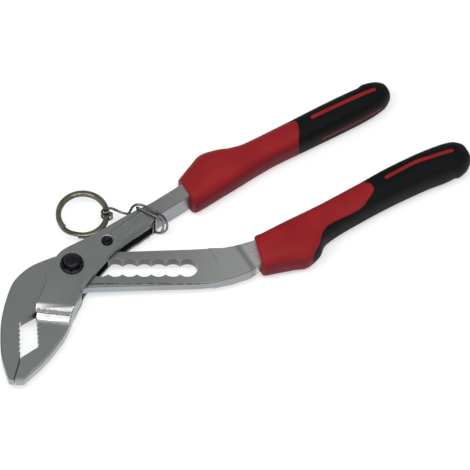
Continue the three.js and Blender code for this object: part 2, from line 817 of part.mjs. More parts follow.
function tetherWire() {
  const points = [];
  const eyeRadius = Math.hypot(ringWidth / 2, ringPitch / 2) + wireRadius + seatGap;
  const eyeSteps = 28;
  const eyeTurns = 1.75;
  const eyeStart = ringCentre.y - (eyeTurns / 2) * wirePitch;
  const eyeX = ringCentre.x + ringRadius;
  points.push(new THREE.Vector3(eyeX + eyeRadius, eyeStart - wireRadius, eyeRadius));
  for (let i = 0; i <= eyeSteps; i += 1) {
    const angle = -(i / eyeSteps) * eyeTurns * 2 * Math.PI;
    points.push(new THREE.Vector3(
      eyeX + eyeRadius * Math.cos(angle),
      eyeStart + (i / eyeSteps) * eyeTurns * wirePitch,
      eyeRadius * Math.sin(angle),
    ));
  }
  runShares.forEach(([along, side, height]) => {
    const at = place(shankAngle, wireReach + along * wirePitch, shankSide + side * wirePitch);
    points.push(new THREE.Vector3(at.x, at.y, height * wirePitch));
  });
  const halfSide = shankWidth / 2 + wireRadius + wireBulge;
  const halfHeight = jointHalf + wireRadius + wireBulge / 2;
  const roundness = 3.2;
  const turnSteps = 16;
  const turn = [];
  for (let i = 1; i <= turnSteps; i += 1) {
    const angle = ((i + 2) / turnSteps) * 2 * Math.PI;
    const [c, s] = [Math.cos(angle), Math.sin(angle)];
    turn.push([
      halfSide * Math.sign(c) * Math.abs(c) ** (2 / roundness),
      halfHeight * Math.sign(s) * Math.abs(s) ** (2 / roundness),
    ]);
  }
  const wound = [...turn, ...turn.slice(0, 10)];
  wound.forEach(([side, height], i) => {
    const along = wireReach - wireLean * side - (i / turn.length) * wirePitch;
    const at = place(shankAngle, along, shankSide + edgeChamfer + side);
    points.push(new THREE.Vector3(at.x, at.y, height));
  });
  const path = new THREE.CatmullRomCurve3(points, false, 'centripetal');
  const samples = 480;
  const gap = leastGap(path.getSpacedPoints(samples), samples / 30, 2 * wireRadius);
  console.log(`tether wire, least gap to itself ${gap.toFixed(2)} mm`);
  return wire(path, wireRadius, 110, 6);
}

const tool = new THREE.Group();
tool.add(
  piece('outer_lever', outerLever(), steel),
  piece('inner_lever', innerLever(), steel),
  piece('pivot_collar', pivotCollar(), darkSteel),
  piece('push_button', pushButton(), darkSteel),
  piece('locking_pin', lockingPin(), darkSteel),
  piece('button_spring', buttonSpring(), steel),
  piece('stop_pin', stopPin(), darkSteel),
  piece('outer_grip_core', gripCore(outerGrip), redPlastic),
  piece('outer_grip_cover', gripCover(outerGrip), blackRubber),
  piece('inner_grip_core', gripCore(innerGrip), redPlastic),
  piece('inner_grip_cover', gripCover(innerGrip), blackRubber),
  piece('split_ring', splitRing(), ringSteel),
  piece('tether_wire', tetherWire(), ringSteel),
);

// The origin is on the far cheek's outer face, between the pivot and the stop pin
const faceReach = 10.95;
const facePoint = place(shankAngle, faceReach, 0);
tool.position.set(-facePoint.x, -facePoint.y, jointHalf);

export default tool;
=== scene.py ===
import json
import math
from types import SimpleNamespace

import bmesh
import bpy
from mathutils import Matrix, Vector


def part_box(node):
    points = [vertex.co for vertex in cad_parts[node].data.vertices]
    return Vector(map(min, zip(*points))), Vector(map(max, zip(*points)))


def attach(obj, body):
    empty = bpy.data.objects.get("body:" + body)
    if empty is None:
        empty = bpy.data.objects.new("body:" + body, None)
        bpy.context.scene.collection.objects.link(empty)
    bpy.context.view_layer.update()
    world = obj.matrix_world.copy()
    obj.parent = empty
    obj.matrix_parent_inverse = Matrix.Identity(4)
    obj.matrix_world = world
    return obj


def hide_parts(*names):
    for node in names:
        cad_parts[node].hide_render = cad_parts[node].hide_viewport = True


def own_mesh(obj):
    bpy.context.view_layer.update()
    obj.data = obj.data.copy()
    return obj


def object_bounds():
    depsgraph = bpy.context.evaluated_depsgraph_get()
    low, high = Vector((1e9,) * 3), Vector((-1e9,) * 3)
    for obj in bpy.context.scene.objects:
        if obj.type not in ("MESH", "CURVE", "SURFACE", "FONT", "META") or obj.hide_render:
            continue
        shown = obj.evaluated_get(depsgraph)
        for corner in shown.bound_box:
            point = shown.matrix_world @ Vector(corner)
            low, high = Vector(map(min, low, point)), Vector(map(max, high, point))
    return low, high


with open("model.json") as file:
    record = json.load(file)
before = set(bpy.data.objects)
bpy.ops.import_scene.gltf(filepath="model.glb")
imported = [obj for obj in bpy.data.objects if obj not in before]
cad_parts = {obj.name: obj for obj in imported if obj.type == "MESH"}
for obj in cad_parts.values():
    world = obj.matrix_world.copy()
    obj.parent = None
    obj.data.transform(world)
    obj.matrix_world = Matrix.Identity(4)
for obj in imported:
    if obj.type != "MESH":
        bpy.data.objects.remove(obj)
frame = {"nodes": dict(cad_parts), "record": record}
cad_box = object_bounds()
solids = frame["nodes"]


# The table, the lamp and the camera
# A matt white table top far wider than the tool. One soft lamp hangs over it, towards the jaw tips,
# and a pale even sky fills the rest. The camera looks down at 60 degrees from far off.
table_half = 4.0
table_white = 0.82
table_glow = 0.5
sky_strength = 0.36
lamp_width = 1.2
lamp_depth = 0.4
lamp_power = 6.4
lamp_place = (-0.1, -0.32, 1.0)
aim = Vector((0.0675, 0.0131, 0.0064))
camera_away = Vector((0, -4.0, 6.928))
camera_lens = 1304
camera_far = 30
camera_tilt = math.radians(30)


def put(tree, kind, props=None, **sockets):
    """A node with its settings, its values and what feeds it."""
    made = tree.nodes.new(kind)
    for name, value in (props or {}).items():
        setattr(made, name, value)
    for name, value in sockets.items():
        socket = made.inputs[int(name[1:])] if name[0] == "_" else made.inputs[name.replace("_", " ")]
        if isinstance(value, bpy.types.NodeSocket):
            tree.links.new(value, socket)
        else:
            socket.default_value = value
    return made


def maths(tree, how, first, second):
    """Two values worked into one."""
    return put(tree, "ShaderNodeMath", {"operation": how}, _0=first, _1=second).outputs[0]


def shown(name, data):
    """A new object that shows a mesh, a lamp or a camera."""
    made = bpy.data.objects.new(name, data)
    bpy.context.collection.objects.link(made)
    return made


lowest = cad_box[0][2]
table_corners = [(x * table_half, y * table_half, lowest) for x, y in ((-1, -1), (1, -1), (1, 1), (-1, 1))]
table_mesh = bpy.data.meshes.new("table")
table_mesh.from_pydata(table_corners, [], [(0, 1, 2, 3)])
table = shown("table", table_mesh)
paint = bpy.data.materials.new("table white")
paint.use_nodes = True
tree = paint.node_tree
tree.nodes.clear()
matt = put(tree, "ShaderNodeBsdfDiffuse", Color=(table_white, table_white, table_white, 1))
rays = put(tree, "ShaderNodeLightPath").outputs
seen = maths(tree, "MAXIMUM", rays["Is Camera Ray"], rays["Is Glossy Ray"])
seen = maths(tree, "MAXIMUM", seen, rays["Is Transmission Ray"])
lift = put(tree, "ShaderNodeEmission", Color=(1, 1, 1, 1), Strength=maths(tree, "MULTIPLY", seen, table_glow))
both = put(tree, "ShaderNodeAddShader", _0=matt.outputs[0], _1=lift.outputs[0])
put(tree, "ShaderNodeOutputMaterial", Surface=both.outputs[0])
table_mesh.materials.append(paint)

sky = bpy.data.worlds.new("studio")
sky.use_nodes = True
sky.node_tree.nodes["Background"].inputs["Color"].default_value = (0.98, 1, 1.02, 1)
sky.node_tree.nodes["Background"].inputs["Strength"].default_value = sky_strength
bpy.context.scene.world = sky

lamp_data = bpy.data.lights.new("soft lamp", "AREA")
lamp_data.shape = "RECTANGLE"
lamp_data.size = lamp_width
lamp_data.size_y = lamp_depth
lamp_data.energy = lamp_power
shown("soft lamp", lamp_data).location = lamp_place

lens = bpy.data.cameras.new("camera")
lens.sensor_width = 36
lens.lens = camera_lens
lens.clip_end = camera_far
camera = shown("camera", lens)
camera.location = aim + camera_away
camera.rotation_euler = (camera_tilt, 0, 0)
bpy.context.scene.camera = camera
bpy.context.scene.view_settings.view_transform = "Standard"


# Outer lever
# One chrome vanadium forging: the box of two cheeks, the fixed jaw and the shank. Blasted and
# tumbled to a satin grey, with the two slopes at the jaw's step ground bright afterwards.
mm = 0.001
joint_places = {joint["name"]: joint.get("pos_m") for joint in frame["record"]["behaviour"]["joints"]}
pivot = Vector(joint_places["jaw_pivot"])
cheek = pivot.z / mm
shank_turn = math.radians(35)
shank = Vector((math.cos(shank_turn), math.sin(shank_turn), 0))
to_handles = Vector((shank.y, -shank.x, 0))
weld = 2e-6
corner_ease = 0.25 * mm
# In metres on the tool, as the finish measures from them
middle_plane = 0.0064
slot_line = -0.00628
# The box's belly in the plane of the bar, from the pivot in millimetres: forged, and as ground
forged_belly = [(20.34, 7.74), (28.79, 13.8), (34.22, 19.05), (39.2, 25.37)]
ground_belly = [(20.34, 7.74), (27.19, 14.02), (31.86, 17.49), (36.58, 21.14), (40.32, 24.25)]
box_end = 47.8 * mm
rim_cut = 0.8 * mm
rim_drop = 1.1 * mm
jaw_back = -22.5 * mm
jaw_back_ease = 0.9 * mm
# The pressed frame on the near cheek: its middle, its turn, half its length and width, its corners
plaque_place = (0.01824, 0.01412, 0.0)
plaque_turn = math.radians(38)
plaque_long = 0.0095
plaque_short = 0.0032
plaque_corner = 0.002


def speckle(tree, place, scale, detail=2.0, rough=0.5):
    """Noise of so many grains to the metre, from 0 to 1."""
    noise = put(tree, "ShaderNodeTexNoise", Vector=place, Scale=scale, Detail=detail, Roughness=rough)
    return noise.outputs["Fac"]


def between(tree, value, low, high, to_low, to_high, smooth=True):
    """One value carried from one span to another, and held at its ends."""
    kind = "SMOOTHSTEP" if smooth else "LINEAR"
    made = put(tree, "ShaderNodeMapRange", {"interpolation_type": kind}, Value=value, From_Min=low,
               From_Max=high, To_Min=to_low, To_Max=to_high)
    return made.outputs["Result"]


def product(tree, first, *others):
    """All the values multiplied."""
    for other in others:
        first = maths(tree, "MULTIPLY", first, other)
    return first


def within(tree, value, low, high):
    """1 between two values, 0 a tenth of a millimetre outside them."""
    over = between(tree, value, low - 0.1 * mm, low, 0.0, 1.0, False)
    return product(tree, over, between(tree, value, high, high + 0.1 * mm, 1.0, 0.0, False))


def reach_along(tree, vector, way):
    """How far a vector reaches along a way."""
    return put(tree, "ShaderNodeVectorMath", {"operation": "DOT_PRODUCT"}, _0=vector, _1=way).outputs["Value"]


def tint(tree, share, first, second):
    """The second colour over the first by a share."""
    return put(tree, "ShaderNodeMix", {"data_type": "RGBA"}, _0=share, _6=first, _7=second).outputs[2]


def worn_edge(tree, radius):
    """1 where the surface turns a corner within a radius, where handling has rubbed it."""
    eased = put(tree, "ShaderNodeBevel", {"samples": 6}, Radius=radius).outputs["Normal"]
    same = reach_along(tree, eased, put(tree, "ShaderNodeNewGeometry").outputs["Normal"])
    return between(tree, same, 0.99, 0.8, 0.0, 1.0)


def new_finish(name, metallic=0.0):
    """A new material, its tree, its shader and the place of a point on the tool."""
    material = bpy.data.materials.new(name)
    material.use_nodes = True
    tree = material.node_tree
    shader = tree.nodes["Principled BSDF"]
    shader.inputs["Metallic"].default_value = metallic
    return material, tree, shader, put(tree, "ShaderNodeTexCoord").outputs["Object"]


def surfaced(tree, shader, body, rough, height, strength, depth):
    """The shader given its colour, its roughness and its grain."""
    tree.links.new(body, shader.inputs["Base Color"])
    tree.links.new(rough, shader.inputs["Roughness"])
    bump = put(tree, "ShaderNodeBump", Strength=strength, Distance=depth, Height=height)
    tree.links.new(bump.outputs["Normal"], shader.inputs["Normal"])


def lever_spot(tree, place):
    """Where a point of a lever lies and which way it faces, in metres on the tool."""
    at = put(tree, "ShaderNodeSeparateXYZ", Vector=place).outputs
    surface = put(tree, "ShaderNodeNewGeometry").outputs
    facing = put(tree, "ShaderNodeSeparateXYZ", Vector=surface["True Normal"]).outputs
    flat = maths(tree, "ABSOLUTE", facing["Z"], 0.0)
    return SimpleNamespace(
        place=place, x=at["X"], y=at["Y"], z=at["Z"], flat=flat, south=facing["Y"], eased=surface["Normal"],
        wall=between(tree, flat, 0.3, 0.5, 1.0, 0.0, False),
        off=maths(tree, "ABSOLUTE", maths(tree, "SUBTRACT", at["Z"], middle_plane), 0.0),
        aside=maths(tree, "ABSOLUTE", maths(tree, "ADD", at["Y"], -slot_line), 0.0),
        handles=reach_along(tree, surface["True Normal"], (0.5736, -0.8192, 0)),
        cloud=speckle(tree, place, 70, 3), grain=speckle(tree, place, 900, 3, 0.6),
    )


def painted_wall_reflection(tree, spot, body):
    """Painted reflection: walls that face the jaw tips are tinted a bluish grey, and the necks' outer walls a
    little greyer.
    """
    south = put(tree, "ShaderNodeSeparateXYZ", Vector=spot.eased).outputs["Y"]
    tip_facing = product(tree, spot.wall, between(tree, south, -0.45, -0.97, 0.0, 1.0))
    body = tint(tree, tip_facing, body, (0.33, 0.36, 0.385, 1))
    outward = between(tree, reach_along(tree, spot.eased, (0.5, -0.866, 0)), 0.3, 0.6, 0.0, 1.0)
    necks = product(tree, spot.wall, between(tree, spot.x, 0.022, 0.034, 0.0, 1.0), outward)
    return tint(tree, necks, body, (0.31, 0.315, 0.335, 1))


def painted_box_shade(tree, spot, body):
    """Painted shade on the inner faces of the box, its walls towards the handles and the slot's walls, where
    shade falls inside the box.
    """
    inner = product(
        tree, between(tree, spot.off, 0.00296, 0.00298, 0.0, 1.0, False),
        between(tree, spot.off, 0.00302, 0.00304, 1.0, 0.0, False),
        between(tree, spot.flat, 0.9, 0.95, 0.0, 1.0, False),
        between(tree, spot.y, -0.042, -0.04, 0.0, 1.0, False),
    )
    body = tint(tree, inner, body, (0.09, 0.095, 0.1, 1))
    on_shank = reach_along(tree, spot.place, (0.8192, 0.5736, 0))
    walls = product(
        tree, spot.wall, between(tree, spot.handles, 0.3, 0.5, 0.0, 1.0, False),
        between(tree, on_shank, 0.0332, 0.0336, 1.0, 0.0, False),
        between(tree, spot.off, 0.0028, 0.0029, 0.0, 0.85, False),
        between(tree, spot.y, -0.03, -0.02, 0.0, 1.0), between(tree, spot.x, 0.042, 0.044, 1.0, 0.0),
    )
    body = tint(tree, walls, body, (0.075, 0.082, 0.09, 1))
    slot = product(tree, spot.wall, between(tree, spot.aside, 0.0051, 0.0054, 1.0, 0.0, False),
                   within(tree, spot.x, -0.011, 0.052), 0.85)
    return tint(tree, slot, body, (0.1, 0.097, 0.11, 1))


def painted_neck_light(tree, spot, body):
    """Painted light on the neck: brighter towards the handles, a band of painted shade and a grainy painted
    highlight, where light falls on the neck's twist.
    """
    bright = product(tree, between(tree, spot.x, 0.02, 0.07, 0.0, 0.62),
                     between(tree, spot.flat, 0.8, 0.9, 0.0, 1.0))
    body = tint(tree, bright, body, (0.72, 0.73, 0.69, 1))
    neck = maths(tree, "SUBTRACT", reach_along(tree, spot.place, (0.8746, 0.4848, 0)), 0.0696)
    neck = maths(tree, "ADD", neck, product(tree, maths(tree, "SUBTRACT", spot.cloud, 0.5), 0.002))
    shade_band = product(tree, between(tree, neck, -0.0092, -0.0072, 0.0, 0.55),
                   between(tree, neck, -0.0068, -0.0052, 1.0, 0.0))
    body = tint(tree, shade_band, body, (0.2, 0.21, 0.21, 1))
    facet = product(tree, between(tree, neck, -0.0058, -0.0045, 0.0, 1.0),
                    between(tree, spot.grain, 0.4, 0.6, 0.2, 0.9),
                    between(tree, spot.x, 0.06, 0.061, 0.0, 1.0, False))
    return tint(tree, facet, body, (0.8, 0.8, 0.78, 1))


def broken_rim(tree, spot, body):
    """A broken dark line painted along the bar's lower rim."""
    line = product(
        tree, between(tree, spot.aside, 0.0082, 0.0085, 0.0, 1.0),
        between(tree, spot.aside, 0.0088, 0.0092, 1.0, 0.0),
        between(tree, spot.flat, 0.6, 0.7, 0.0, 1.0, False),
    )
    broken = between(tree, speckle(tree, spot.place, 420, 3), 0.42, 0.55, 0.1, 0.85)
    bar = product(
        tree, between(tree, spot.off, 0.0029, 0.00295, 1.0, 0.0),
        between(tree, spot.x, -0.002, 0.0, 0.0, 1.0), between(tree, spot.y, -0.0063, -0.0062, 1.0, 0.0),
    )
    return tint(tree, product(tree, product(tree, line, broken), bar), body, (0.1, 0.115, 0.12, 1))


def pressed_frame_shading(tree, spot, body):
    """The pressed frame on the near cheek: painted shade as a dark line outside its rim and a painted
    highlight as a light line inside.
    """
    laid = put(tree, "ShaderNodeMapping", {"vector_type": "TEXTURE"}, Vector=spot.place,
               Location=plaque_place, Rotation=(0, 0, plaque_turn))
    laid = put(tree, "ShaderNodeSeparateXYZ", Vector=laid.outputs["Vector"]).outputs
    past = [maths(tree, "SUBTRACT", maths(tree, "ABSOLUTE", laid[side], 0.0), half - plaque_corner)
            for side, half in (("X", plaque_long), ("Y", plaque_short))]
    corner = put(tree, "ShaderNodeCombineXYZ", X=maths(tree, "MAXIMUM", past[0], 0.0),
                 Y=maths(tree, "MAXIMUM", past[1], 0.0))
    outside = put(tree, "ShaderNodeVectorMath", {"operation": "LENGTH"}, _0=corner.outputs["Vector"])
    inside = maths(tree, "MINIMUM", maths(tree, "MAXIMUM", *past), 0.0)
    rim = maths(tree, "SUBTRACT", maths(tree, "ADD", outside.outputs["Value"], inside), plaque_corner)
    face = between(tree, spot.z, 0.0120, 0.0122, 0.0, 1.0, False)
    dark = product(tree, within(tree, rim, -0.0001, 0.0003), face, 0.55)
    body = tint(tree, dark, body, (0.14, 0.15, 0.15, 1))
    light = product(tree, within(tree, rim, -0.0005, -0.0002), face, 0.4)
    return tint(tree, light, body, (0.72, 0.73, 0.72, 1))


def jaw_teeth_and_shade(tree, spot, body):
    """The teeth were broached last and shine; the pocket over them is darkened with painted shade."""
    opening = product(tree, spot.wall, within(tree, spot.x, -0.0345, -0.0237))
    teeth = product(tree, opening, within(tree, spot.y, -0.0512, -0.0352))
    body = tint(tree, teeth, body, (0.85, 0.85, 0.86, 1))
    pocket_shade = product(tree, opening, within(tree, spot.y, -0.0350, -0.026))
    return tint(tree, pocket_shade, body, (0.17, 0.16, 0.18, 1))


def shaded_back_rims(tree, spot, body):
    """Painted shade on the chamfers that turn away from the handles."""
    back = product(tree, between(tree, spot.flat, 0.4, 0.5, 0.0, 1.0),
                   between(tree, spot.flat, 0.86, 0.93, 1.0, 0.0),
                   between(tree, spot.handles, -0.35, -0.15, 0.8, 0.0))
    return tint(tree, back, body, (0.1, 0.105, 0.11, 1))


def jaw_step_shading(tree, spot, body):
    """Painted shade as a rough dark line in the crease between the jaw's two ground slopes, and a painted
    highlight where the second slope runs out softly.
    """
    reach = maths(tree, "SUBTRACT", reach_along(tree, spot.place, (-0.1253, -0.9921, 0)), 0.00736)
    ragged = product(tree, maths(tree, "SUBTRACT", speckle(tree, spot.place, 700, 3), 0.5), 0.0016)
    reach = maths(tree, "ADD", reach, ragged)
    fixed = product(tree, between(tree, spot.flat, 0.85, 0.88, 0.0, 1.0, False),
                    between(tree, spot.x, -0.0262, -0.0258, 0.0, 1.0, False))
    crease_shade = product(tree, between(tree, reach, 0.0248, 0.0256, 0.0, 0.9),
                     between(tree, reach, 0.0268, 0.0273, 1.0, 0.0), fixed)
    body = tint(tree, crease_shade, body, (0.1, 0.09, 0.1, 1))
    slope_highlight = product(tree, between(tree, reach, 0.0285, 0.0295, 0.0, 1.0),
                       between(tree, reach, 0.0302, 0.0322, 0.9, 0.0), fixed)
    return tint(tree, slope_highlight, body, (0.85, 0.84, 0.86, 1))


def lever_finish():
    """Blasted and tumbled steel in patches of two greys, with the marks above, many of them painted shade,
    highlights and reflections, and worn edges, lighter still as a painted highlight where they face the jaw
    tips.
    """
    material, tree, shader, place = new_finish("blasted lever steel", 1.0)
    spot = lever_spot(tree, place)
    sand = speckle(tree, place, 2600, 2)
    tone = maths(tree, "ADD", product(tree, spot.cloud, 0.55), product(tree, spot.grain, 0.45))
    tone = between(tree, tone, 0.34, 0.66, 0.0, 1.0)
    body = tint(tree, tone, (0.34, 0.355, 0.35, 1), (0.43, 0.44, 0.43, 1))
    patch = between(tree, speckle(tree, place, 260, 4, 0.65), 0.56, 0.7, 0.0, 0.35)
    body = tint(tree, patch, body, (0.29, 0.3, 0.31, 1))
    # Among these marks are painted shade, painted highlights and painted reflections
    for mark in (painted_wall_reflection, painted_box_shade, painted_neck_light, broken_rim, pressed_frame_shading, jaw_teeth_and_shade, shaded_back_rims,
                 jaw_step_shading):
        body = mark(tree, spot, body)
    # Worn edges, painted brighter as a highlight where they face the jaw tips
    edge = product(tree, worn_edge(tree, 0.5 * mm),
                   between(tree, speckle(tree, place, 1500, 3), 0.4, 0.6, 0.15, 1.0),
                   between(tree, spot.south, -0.3, 0.05, 1.0, 0.12))
    body = tint(tree, edge, body, (0.72, 0.73, 0.72, 1))
    rough = maths(tree, "SUBTRACT", between(tree, tone, 0.0, 1.0, 0.4, 0.32), product(tree, edge, 0.1))
    height = maths(tree, "ADD", product(tree, spot.grain, 0.7), product(tree, sand, 0.3))
    surfaced(tree, shader, body, rough, height, 0.55, 0.06 * mm)
    return material


def among_teeth(edge):
    """Whether an edge is one of the pipe teeth's, which stay keen."""
    openings = frame["record"]["physics"]["openings"]
    low, high = next(opening["box_m"] for opening in openings if opening["name"] == "pipe_opening")
    middle = (edge.verts[0].co + edge.verts[1].co) / 2
    return all(low[i] - 2.5 * mm < middle[i] < high[i] + 2.5 * mm for i in (0, 1))


def eased_forging(node, name, body, shaped):
    """The lever's own solid, shaped and with its corners eased, as one closed mesh in place of the node."""
    mesh = solids[node].data.copy()
    shell = bmesh.new()
    shell.from_mesh(mesh)
    bmesh.ops.remove_doubles(shell, verts=shell.verts, dist=weld)
    bmesh.ops.dissolve_degenerate(shell, dist=weld, edges=shell.edges)
    bmesh.ops.dissolve_limit(shell, angle_limit=math.radians(0.6), verts=shell.verts, edges=shell.edges)
    shaped(shell)
    soft = shell.edges.layers.float.new("bevel_weight_edge")
    for edge in shell.edges:
        turns = edge.calc_face_angle(0.0) > math.radians(28)
        edge[soft] = 1.0 if turns and not among_teeth(edge) else 0.0
    for face in shell.faces:
        face.smooth = True
    shell.to_mesh(mesh)
    shell.free()
    mesh.set_sharp_from_angle(angle=math.radians(32))
    mesh.materials.clear()
    made = shown(name, mesh)
    ease = made.modifiers.new("eased", "BEVEL")
    ease.width = corner_ease
    ease.segments = 2
    ease.limit_method = "WEIGHT"
    ease.miter_outer = "MITER_ARC"
    ease.harden_normals = False
    evened = made.modifiers.new("evened", "WEIGHTED_NORMAL")
    evened.keep_sharp = True
    evened.weight = 100
    solid = bpy.data.meshes.new_from_object(made.evaluated_get(bpy.context.evaluated_depsgraph_get()))
    made.modifiers.clear()
    made.data = solid
    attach(made, body)
    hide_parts(node)
    return made


def ramp(value, low, high):
    """0 under a low value, 1 over a high one, and smooth between."""
    share = min(1.0, max(0.0, (value - low) / (high - low)))
    return share * share * (3 - 2 * share)


def along_line(line, x):
    """The height of a line of points at a distance, and nothing past its ends."""
    for (x0, y0), (x1, y1) in zip(line, line[1:]):
        if x0 <= x <= x1:
            return y0 + (y1 - y0) * (x - x0) / (x1 - x0)
    return None


def ground_straight(shell):
    """The box's belly moved from where it was forged to where it was ground."""
    for vert in shell.verts:
        spot = (vert.co - pivot) / mm
        forged = along_line(forged_belly, spot.x)
        if forged is not None and abs(spot.y - forged) < 1.5:
            vert.co.y += (along_line(ground_belly, spot.x) - forged) * mm


def widened_rims(shell):
    """The box's chamfers towards the handles cut wider and deeper, up to its end."""
    rims = {}
    for face in shell.faces:
        face.normal_update()
        out = Vector((face.normal.x, face.normal.y, 0))
        if 0.55 < abs(face.normal.z) < 0.85 and out.normalized().dot(to_handles) > 0.1:
            for vert in face.verts:
                rims.setdefault(vert, []).append(out.normalized())
    for vert, ways in rims.items():
        out = sum(ways, Vector()).normalized()
        spot = vert.co - pivot
        share = ramp(out.dot(to_handles), 0.1, 0.55) * ramp(spot.y, -21 * mm, -18 * mm)
        share *= 1 - ramp(spot.dot(shank), 43 * mm, 47 * mm)
        if abs(spot.z) > (cheek - 0.1) * mm:
            vert.co -= out * rim_cut * share
        elif abs(spot.z) > (cheek - 0.6) * mm:
            vert.co.z -= math.copysign(rim_drop * share, spot.z)


def finished_box(shell):
    """The box as it leaves the grinder: a straight belly, wide rims and a rounded back of the jaw."""
    geometry = list(shell.verts) + list(shell.edges) + list(shell.faces)
    bmesh.ops.bisect_plane(shell, geom=geometry, dist=1e-6, plane_co=pivot + shank * box_end, plane_no=shank)
    ground_straight(shell)
    widened_rims(shell)
    edges = []
    for edge in shell.edges:
        middle = (edge.verts[0].co + edge.verts[1].co) / 2 - pivot
        if middle.y > jaw_back or len(edge.link_faces) != 2:
            continue
        flat, wall = sorted((face.normal for face in edge.link_faces), key=lambda n: -abs(n.z))
        if abs(flat.z) > 0.85 and abs(wall.z) < 0.3 and wall.dot(to_handles) > 0.3:
            edges.append(edge)
    bmesh.ops.bevel(shell, geom=edges, offset=jaw_back_ease, offset_type="OFFSET", segments=3, profile=0.5,
                    affect="EDGES", clamp_overlap=False)


lever_steel = lever_finish()
outer_lever = eased_forging("outer_lever", "outer_lever_forging", "outer_lever", finished_box)
outer_lever.data.materials.append(lever_steel)


# Inner lever
# The second forging: the moving jaw, the slotted bar and the neck that a round cutter has thinned
# down to the bar. The same blasted satin finish as the outer lever.
# Along X in millimetres: from where the neck is filled, its facet and its end, and how far out
neck_start = 70
neck_rim = 78
neck_end = 90
neck_fill = 1.2
rim_fill = 2.1


def fuller_neck(shell):
    """The neck as it meets its sleeve: its outer wall runs straight on to the moulding's rim."""
    for vert in shell.verts:
        x, y = vert.co.x / mm, vert.co.y / mm
        if neck_start < x < neck_end and y < -4 + (x - 73) * 0.7:
            vert.co += Vector((0.5, -0.866, 0)) * mm * (neck_fill if x < neck_rim else rim_fill)


inner_lever = eased_forging("inner_lever", "inner_lever_forging", "inner_lever", fuller_neck)
inner_lever.data.materials.append(lever_steel)


# Push-button pivot
# A turned and blackened button with a domed, knurled cap slides in a flanged collar that is flared
# into the near cheek. A coil spring lifts it, and its pin carries the barrel that locks a scallop.
cap_top = cheek + 3.5
cap_steps = 144
flutes = 24
flute_depth = 0.16
collar_seat = cheek + 0.3
collar_steps = 96
# From the button's pivot out in radius and up in height, in millimetres
button_profile = [
    (0, cap_top - 0.8), (3.2, cap_top - 0.8), (3.2, cap_top - 2.5), (3.85, cap_top - 2.5),
    (3.85, cap_top - 1.4), (3.82, cap_top - 1.0), (3.7, cap_top - 0.65), (3.45, cap_top - 0.38),
    (3.1, cap_top - 0.2), (2.7, cap_top - 0.1), (2.3, cap_top - 0.05), (2.15, cap_top - 0.2),
    (1.9, cap_top - 0.22), (1.7, cap_top - 0.04), (1.2, cap_top - 0.01), (0.6, cap_top), (0, cap_top),
]
collar_profile = [
    (2.5, 0.3), (3.24, 0.3), (3.24, 3.0), (5.7, 3.0), (5.7, 3.1), (4.8, 4.0), (4.8, collar_seat),
    (5.5, collar_seat), (5.5, collar_seat + 0.3), (5.42, collar_seat + 0.45), (5.2, collar_seat + 0.58),
    (4.9, collar_seat + 0.66), (4.5, collar_seat + 0.7), (4.22, collar_seat + 0.66),
    (4.15, collar_seat + 0.55), (4.15, 3.4), (2.5, 3.4),
]
spring_turns = 4.5
spring_radius = 2.75 * mm
spring_height = 4.95 * mm
spring_wire = 0.225 * mm
spring_foot = pivot + Vector((0, 0, 3.775 * mm))


def turned(name, profile, centre, steps, flute=None):
    """A closed turned body from [radius, height] in millimetres, with knurling cut where asked."""
    shell = bmesh.new()
    rings = []
    for radius, height in profile:
        ring = []
        for k in range(steps if radius > 0 else 1):
            turn = 2 * math.pi * k / steps
            out = (radius - (flute(radius, height, turn) if flute else 0)) * mm
            spot = (centre.x + out * math.cos(turn), centre.y + out * math.sin(turn), centre.z + height * mm)
            ring.append(shell.verts.new(spot))
        rings.append(ring)
    for low, high in zip(rings, rings[1:] + rings[:1]):
        for k in range(steps):
            after = k + 1
            corners = [low[k % len(low)], low[after % len(low)], high[after % len(high)], high[k % len(high)]]
            kept = list(dict.fromkeys(corners))
            if len(kept) > 2:
                shell.faces.new(kept)
    bmesh.ops.recalc_face_normals(shell, faces=shell.faces)
    mesh = bpy.data.meshes.new(name)
    shell.to_mesh(mesh)
    shell.free()
    smoothed(mesh, 38)
    return shown(name, mesh)


def smoothed(mesh, sharp):
    """The mesh shaded smooth, but for the edges that turn by more than some degrees."""
    for face in mesh.polygons:
        face.use_smooth = True
    mesh.set_sharp_from_angle(angle=math.radians(sharp))


def blacked_finish():
    """Black oxide over turned steel, thin and grey on worn edges."""
    material, tree, shader, place = new_finish("blackened steel", 1.0)
    cloud = speckle(tree, place, 500, 3)
    grain = speckle(tree, place, 2400, 3)
    tone = between(tree, maths(tree, "ADD", cloud, grain), 0.8, 1.2, 0.0, 1.0)
    body = tint(tree, tone, (0.016, 0.017, 0.02, 1), (0.05, 0.05, 0.056, 1))
    body = tint(tree, product(tree, worn_edge(tree, 0.4 * mm), tone), body, (0.2, 0.2, 0.2, 1))
    surfaced(tree, shader, body, between(tree, cloud, 0.3, 0.7, 0.3, 0.48), grain, 0.5, 0.05 * mm)
    return material


def knurl(radius, height, turn):
    """Shallow flutes round the button's shoulder."""
    shoulder = height > cheek + 2 and radius > 2.4
    return flute_depth * max(0.0, math.cos(flutes * turn)) if shoulder else 0.0


def new_tree(name, sizes, made):
    """A Geometry Nodes tree and its named inputs."""
    group = bpy.data.node_groups.new(name, "GeometryNodeTree")
    for label, kind in sizes:
        group.interface.new_socket(label, in_out="INPUT", socket_type=f"NodeSocket{kind}")
    group.interface.new_socket(made, in_out="OUTPUT", socket_type="NodeSocketGeometry")
    return group, group.nodes.new("NodeGroupInput").outputs


def drawn(group, given, path, section):
    """The tree's last steps: a section drawn along a path, put in its place and given its finish."""
    wire = put(group, "GeometryNodeCurveToMesh", Curve=path, Profile_Curve=section, Fill_Caps=True)
    if "Place" in given:
        wire = put(group, "GeometryNodeTransform", Geometry=wire.outputs[0], Translation=given["Place"])
    real = put(group, "GeometryNodeRealizeInstances", _0=wire.outputs[0])
    dressed = put(group, "GeometryNodeSetMaterial", Geometry=real.outputs[0], Material=given["Finish"])
    put(group, "NodeGroupOutput", _0=dressed.outputs[0])
    return group


